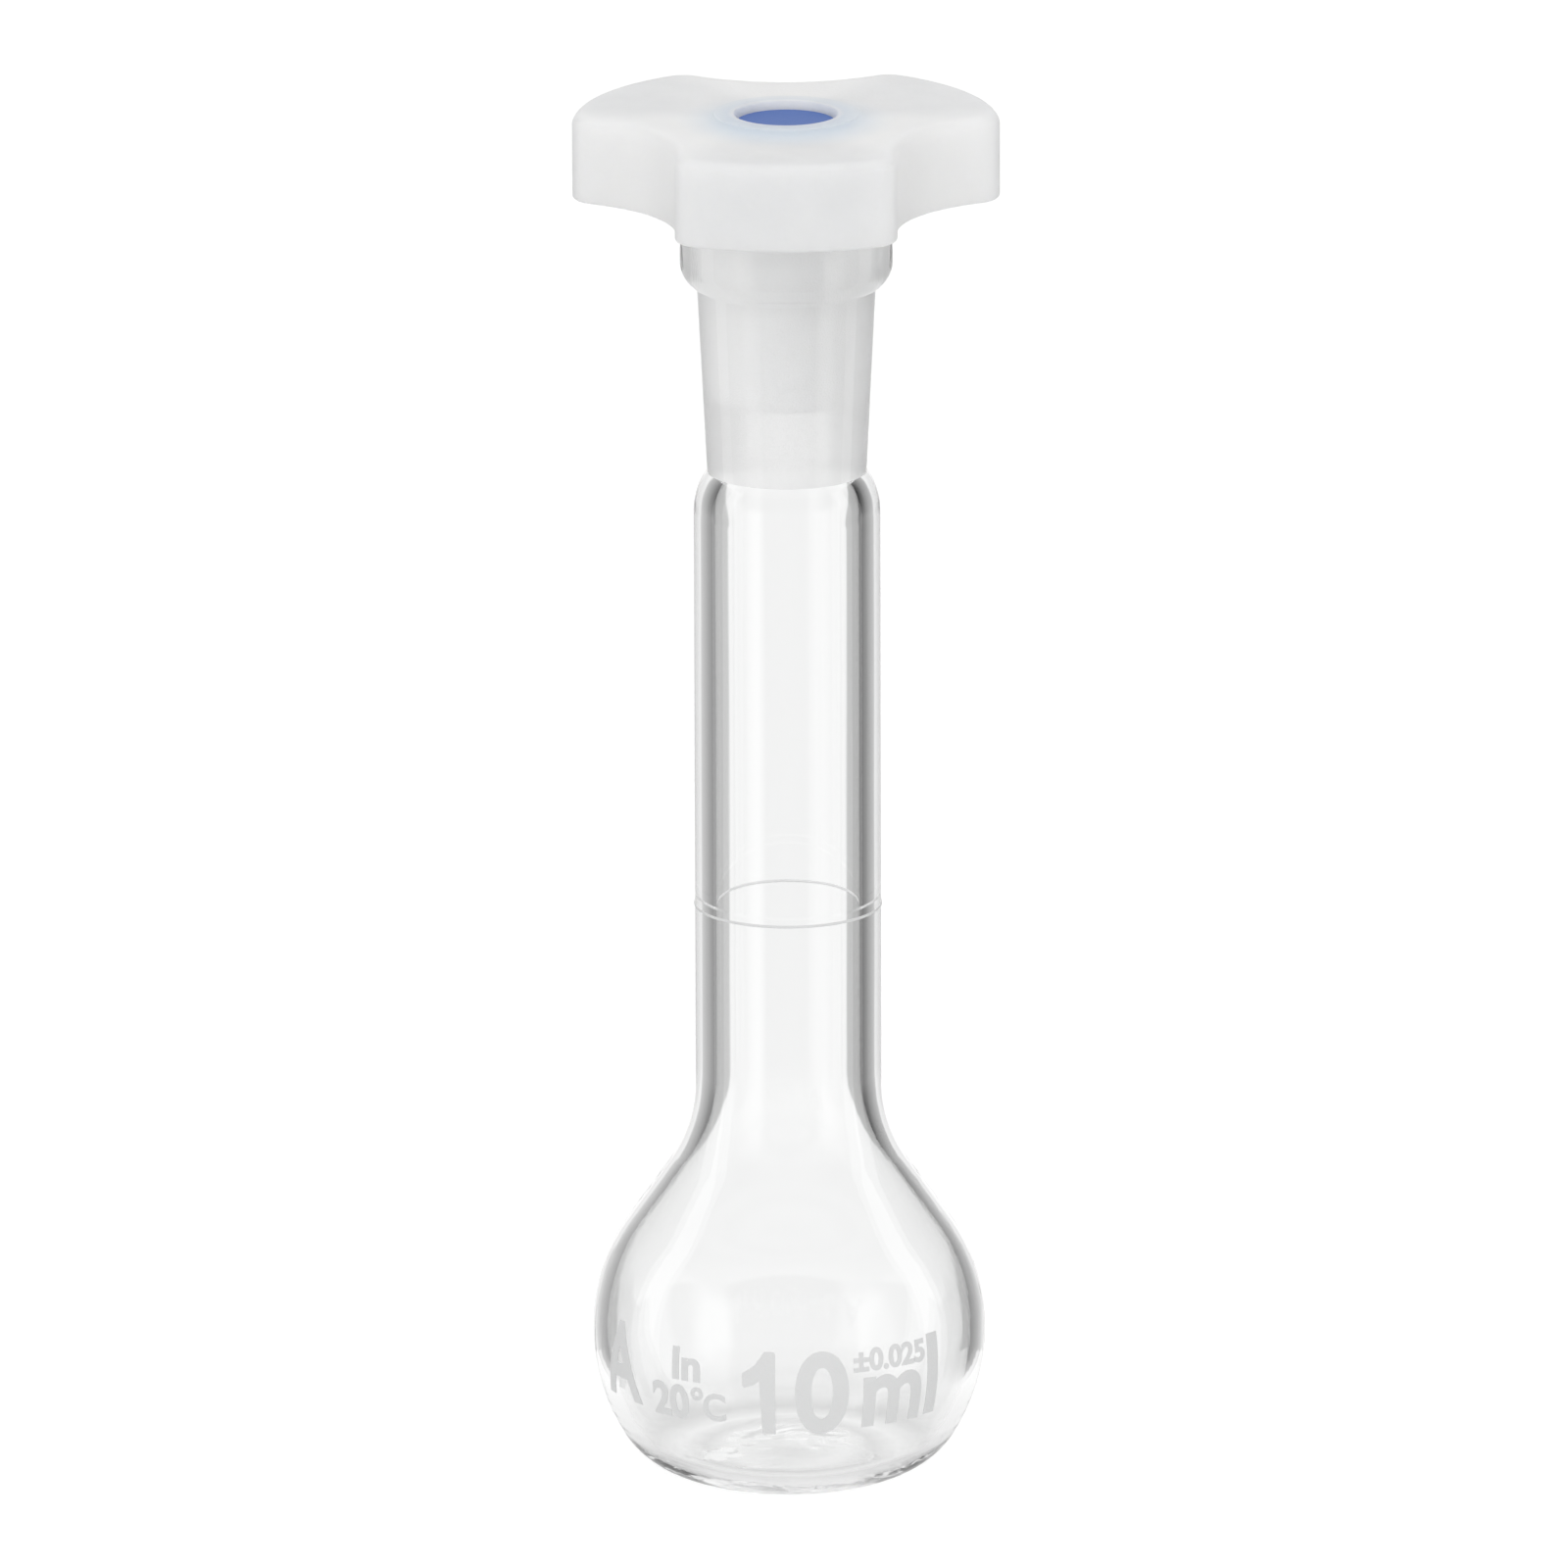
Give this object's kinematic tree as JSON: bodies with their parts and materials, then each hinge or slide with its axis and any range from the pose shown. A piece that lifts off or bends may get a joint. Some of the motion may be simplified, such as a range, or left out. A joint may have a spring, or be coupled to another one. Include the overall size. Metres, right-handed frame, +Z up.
{
  "type": "volumetric flask",
  "caption": "Small glass volumetric flask with a round bulb, long neck, graduation line and ground tapered socket, closed by a hollow lobed stopper with a coloured disc.",
  "frame": {"origin": "on the axis of the flask, in the plane that it stands on", "axes": "+Z up along the axis of the flask, -Y towards the front lobe of the stopper and the viewer"},
  "size_m": [0.0298, 0.0287, 0.0983],
  "materials": {
    "clear_glass": "clear borosilicate glass, the inside of the socket ground matt",
    "white_enamel": "thin white enamel fired onto the glass",
    "natural_polyethylene": "natural milky translucent polyethylene, satin",
    "blue_plastic": "opaque blue moulded plastic"
  },
  "bodies": {
    "flask": {"glass_flask": "clear_glass", "graduation_ring": "white_enamel"},
    "insert": {"colour_insert": "blue_plastic"},
    "stopper": {"stopper": "natural_polyethylene"}
  },
  "joints": [
    {"name": "stopper_lift", "type": "slide", "parent": "flask", "child": "insert", "axis": [0, 0, 1], "range_m": [0, 0.04]},
    {"name": "stopper_turn", "type": "hinge", "parent": "insert", "child": "stopper", "pos_m": [0, 0, 0.0911], "axis": [0, 0, 1], "continuous": true}
  ]
}
